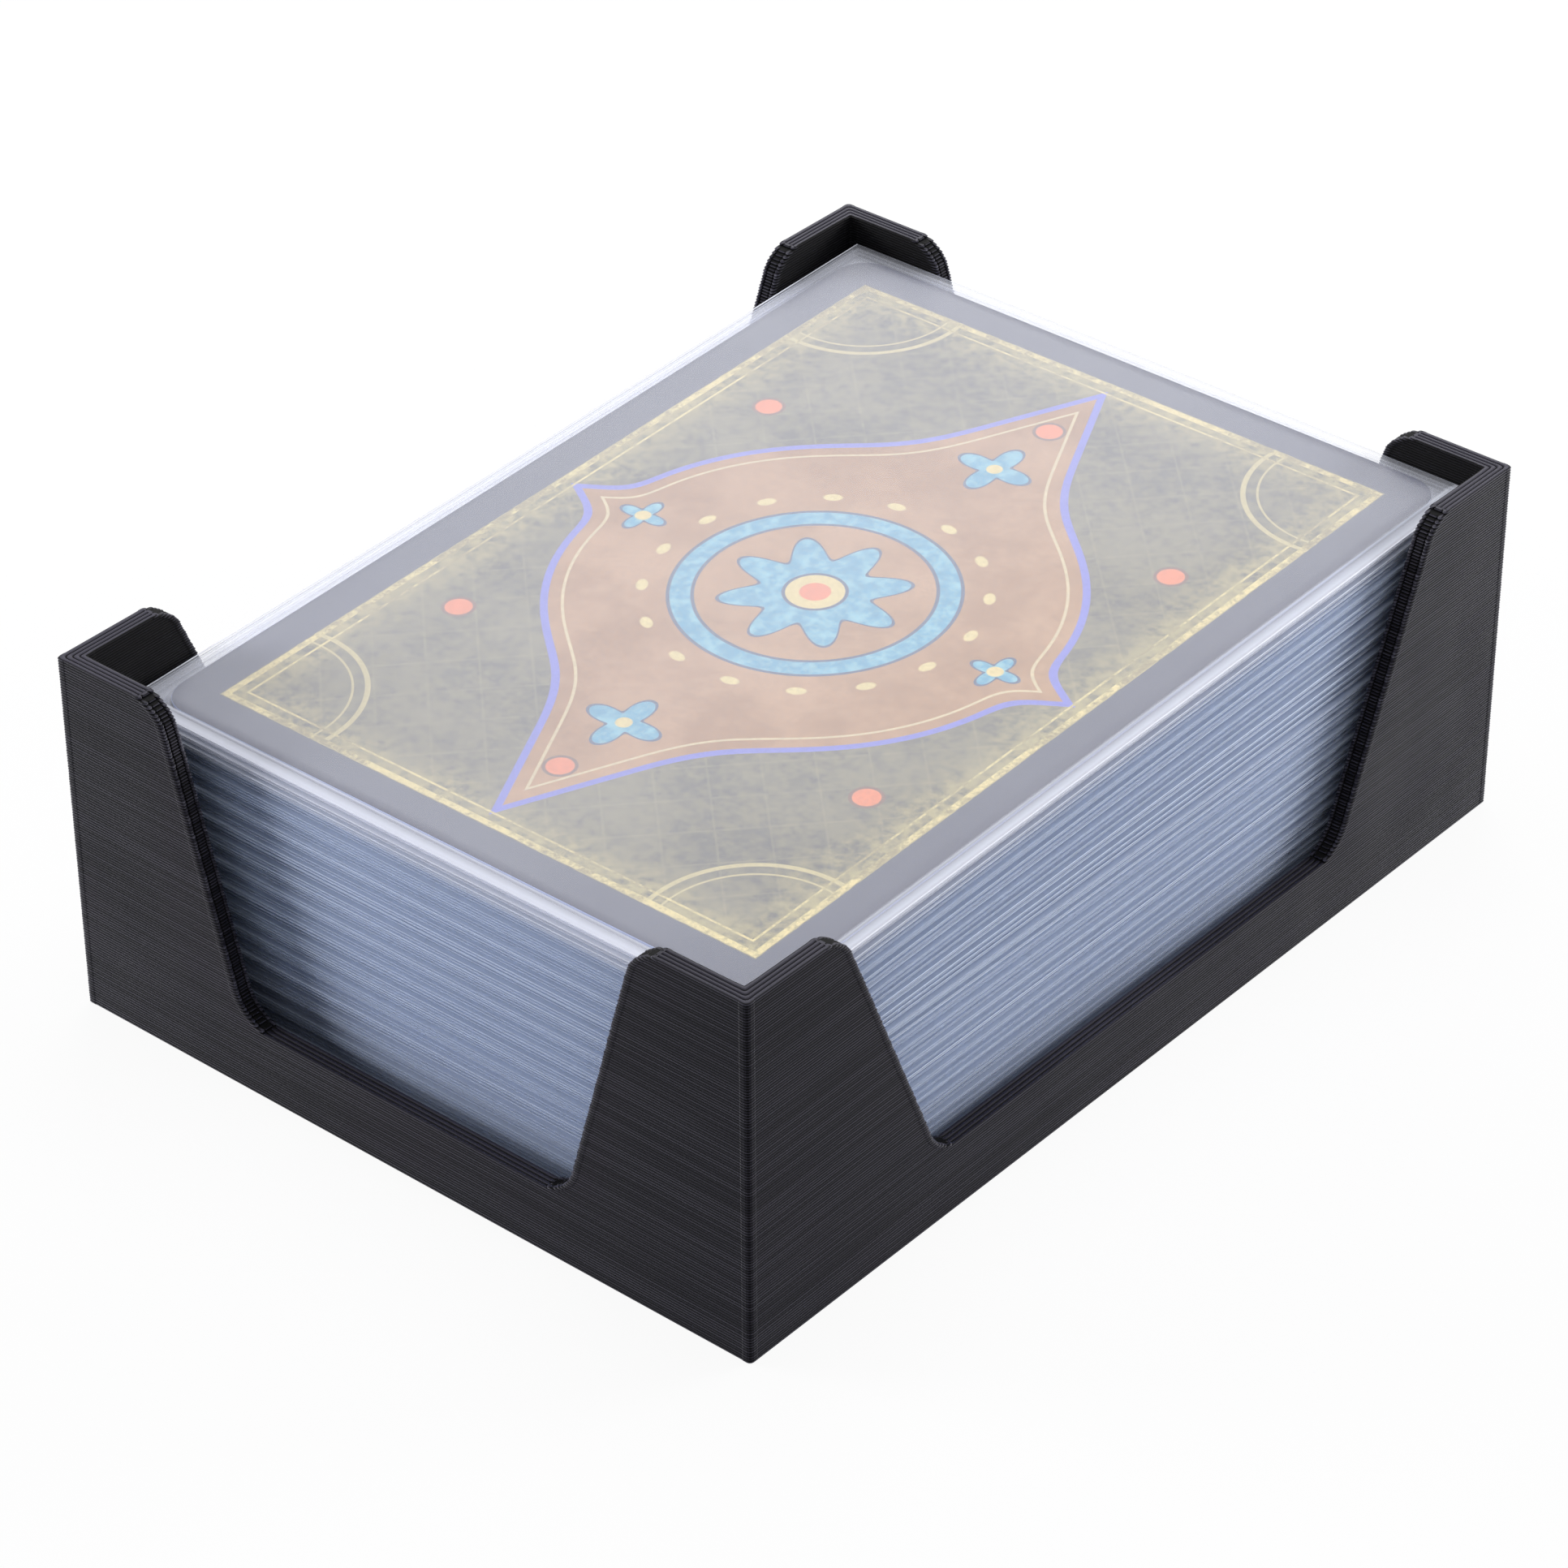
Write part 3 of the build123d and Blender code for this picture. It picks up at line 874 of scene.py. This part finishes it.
# %% Front, edges and gloss of the card
normal = board.add("ShaderNodeNewGeometry")
_, _, facing = board.parts(normal.outputs["True Normal"])
panel = inside(3.5 - frame_in)
plain_front = board.mix(panel, (0.10, 0.10, 0.11), (0.62, 0.58, 0.50))
ink = board.mix(facing.over(0.0), plain_front, inked)
paper_edge = abs(facing).under(0.7)
board.feed("Base Color", board.mix(paper_edge, ink, (0.48, 0.56, 0.88)))
board.feed("Roughness", fibre * 0.15 + 0.32)
board.set(IOR=1.45)
board.bump(fibre, 0.008)
print(board.material.name, "has", len(board.tree.nodes), "nodes")

# %% Card surface
def card_surface():
    """A rounded rectangle carried over four rings, drawn in a little at both faces."""
    half, worn_edge = CARD_THICKNESS / 2, 0.05
    inset = np.array([worn_edge, 0.0, 0.0, worn_edge])
    z = np.array([-half, -half + worn_edge, half - worn_edge, half])
    half_x, half_y = CARD_WIDTH / 2 - inset, CARD_LENGTH / 2 - inset
    ring_x, ring_y = frame_ring(half_x, half_y, CARD_CORNER - inset, 8)
    return np.stack([ring_x, ring_y, np.repeat(z[:, None], ring_x.shape[1], 1)], -1)


def make_cards(name, numbers, nodes, body):
    """One piece with a card for each of the numbers, and the print laid flat on each."""
    flat = card_surface()
    grids = []
    for number in numbers:
        rows = np.concatenate([lay_card(flat, number), flat[..., :2]], -1)
        top, under = flat_fill(rows[-1], False), flat_fill(rows[0], True)
        grids += [(rows, True), (top, False), (under, False)]
    points, quads = grid_piece(grids)
    piece, kept = make_piece(
        name, points[:, :3], quads, board.material, nodes, body,
        smooth=False, carry=points[:, 3:])
    corner = np.empty(len(piece.data.loops), int)
    piece.data.loops.foreach_get("vertex_index", corner)
    layer = piece.data.uv_layers.new(name="print")
    layer.data.foreach_set("uv", (kept[corner, 3:5] / PRINT_SPAN + 0.5).ravel())
    return piece


print("a card is", CARD_WIDTH, "x", CARD_LENGTH, "mm with", CARD_CORNER, "mm corners")

# %% [markdown]
# ## Laying the stack
#
# The eight top cards are pieces of their own, each on its own body, so that a hand can
# lift them one by one. The rest lie in packets of six. The top sleeve shows most, so it
# gets a finer grid.

# %% All cards and sleeves
for number in range(1, SINGLE_CARDS + 1):
    body, grid = f"sleeved_card_{number:02d}", FINE_GRID if number == 1 else PLAIN_GRID
    make_cards(f"playing_card_{number:02d}", [number], [f"card_{number:02d}"], body)
    make_sleeves(f"film_sleeve_{number:02d}", [number], [f"sleeve_{number:02d}"], body, grid)
for letter, numbers in packets.items():
    body = f"packet_{letter}"
    make_cards(f"{body}_playing_cards", numbers, [f"{body}_cards"], body)
    make_sleeves(f"{body}_film_sleeves", numbers, [f"{body}_sleeves"], body)

# %% [markdown]
# ## Camera
#
# The camera stands where the photographer stood: the place was solved from the
# tray's corners. It looks down at about 34 degrees with a long lens, so lines that
# run away hardly draw together.

# %% Camera
TURN, RISE, ROLL = 40.418, 34.346, -0.311  # degrees
DISTANCE, TO_LEFT, ABOVE_MIDDLE = 461.2, 1.699, 9.648


def stand(name, data, right, up, back, spot):
    """Puts a camera or a lamp at a spot in millimetres, where it looks away from back."""
    holder = bpy.data.objects.new(name, data)
    pose = np.eye(4)
    pose[:3, :3], pose[:3, 3] = np.stack([right, up, back], 1), spot * MM
    holder.matrix_world = Matrix(pose.tolist())
    bpy.context.scene.collection.objects.link(holder)
    return holder


def camera_axes(turn, rise, roll):
    """Right, up and back of a camera, from its turn about Z, its rise and its roll."""
    back = np.array([np.sin(turn) * np.cos(rise), -np.cos(turn) * np.cos(rise), np.sin(rise)])
    right = np.array([np.cos(turn), np.sin(turn), 0.0])
    up = np.cross(back, right)
    return np.cos(roll) * right + np.sin(roll) * up, np.cos(roll) * up - np.sin(roll) * right, back


right, up, back = camera_axes(*np.radians([TURN, RISE, ROLL]))
spot = DISTANCE * back - TO_LEFT * right + ABOVE_MIDDLE * up
view = bpy.data.cameras.new("camera")
view.lens, view.sensor_width = 125.76, 36.0
bpy.context.scene.camera = stand("camera", view, right, up, back, spot)
print("camera at", spot.round(), "mm")

# %% [markdown]
# ## Floor, world and lamps
#
# The photograph has a white ground. The floor is plain and pale and keeps the tray's
# shadow. Most of its brightness is its own glow, seen only by the camera and in
# reflections, so that it does not light the object. The lamps are large and soft. One
# hangs overhead, one stands behind and puts a sheen on the film, and two stand low at
# the right and at the front. Their light comes in under a small angle, so it runs along
# the beads and the films' rims, and the low wall and the posts shade the stack's foot.

# %% Floor
FLOOR_GLOW = 0.92  # share of the floor's look that is its own white


def seen_directly(tree):
    """1 for rays from the camera and for what they meet in a reflection, else 0."""
    rays = tree.nodes.new("ShaderNodeLightPath").outputs
    seen = Value(tree, rays["Is Camera Ray"]).most(Value(tree, rays["Is Glossy Ray"]))
    return seen.most(Value(tree, rays["Is Transmission Ray"]))


floor_mesh = bpy.data.meshes.new("floor")
floor_mesh.from_pydata([(-2, -2, 0), (2, -2, 0), (2, 2, 0), (-2, 2, 0)], [], [(0, 1, 2, 3)])
floor = bpy.data.objects.new("floor", floor_mesh)
bpy.context.scene.collection.objects.link(floor)
ground_paint = Finish("floor_paint")
floor_mesh.materials.append(ground_paint.material)
ground_paint.set(Roughness=0.9, Base_Color=(0.86, 0.86, 0.87, 1.0))
glow = ground_paint.add("ShaderNodeEmission", Color=(1, 1, 1, 1), Strength=1.0)
blend = ground_paint.add("ShaderNodeMixShader")
share = seen_directly(ground_paint.tree) * FLOOR_GLOW
sources = share.socket, ground_paint.shader.outputs[0], glow.outputs[0]
for source, target in zip(sources, blend.inputs):
    ground_paint.tree.links.new(source, target)
output = ground_paint.tree.nodes["Material Output"]
ground_paint.tree.links.new(blend.outputs[0], output.inputs[0])
print("floor is ready")

# %% World
WORLD_LIGHT = 0.15  # what reaches the object, while the camera sees white
world = bpy.data.worlds.new("studio")
bpy.context.scene.world = world
world.use_nodes = True
tree = world.node_tree
strength = seen_directly(tree) * (1 - WORLD_LIGHT) + WORLD_LIGHT
tree.links.new(strength.socket, tree.nodes["Background"].inputs["Strength"])
tree.nodes["Background"].inputs["Color"].default_value = (1, 1, 1, 1)
print("world lights at", WORLD_LIGHT, "and shows as white")

# %% Lamps
def soft_lamp(name, place, size, power):
    """A square lamp at a place in millimetres, turned to the object's middle."""
    lamp = bpy.data.lights.new(name, "AREA")
    lamp.size, lamp.energy = size * MM, power
    away = np.array(place, float)
    back = away / np.linalg.norm(away)
    side = np.cross([0, 0, 1.0], back)
    side /= np.linalg.norm(side)
    stand(name, lamp, side, np.cross(back, side), back, away)
    print(name, "stands", round(float(np.linalg.norm(away))), "mm away")


soft_lamp("overhead", (-40, 200, 900), 800, 5.6)
soft_lamp("right", (260, 420, 130), 220, 1.8)
soft_lamp("front", (-430, -270, 130), 220, 2.3)
soft_lamp("back", (-300, 400, 270), 300, 0.75)

# %% [markdown]
# ## Render settings and size
#
# Light has to pass through several films to reach a card in the stack's side, so more
# transparent bounces are allowed.

# %% Settings, box and finish
scene = bpy.context.scene
scene.view_settings.view_transform = "Standard"
scene.cycles.transparent_max_bounces = 32
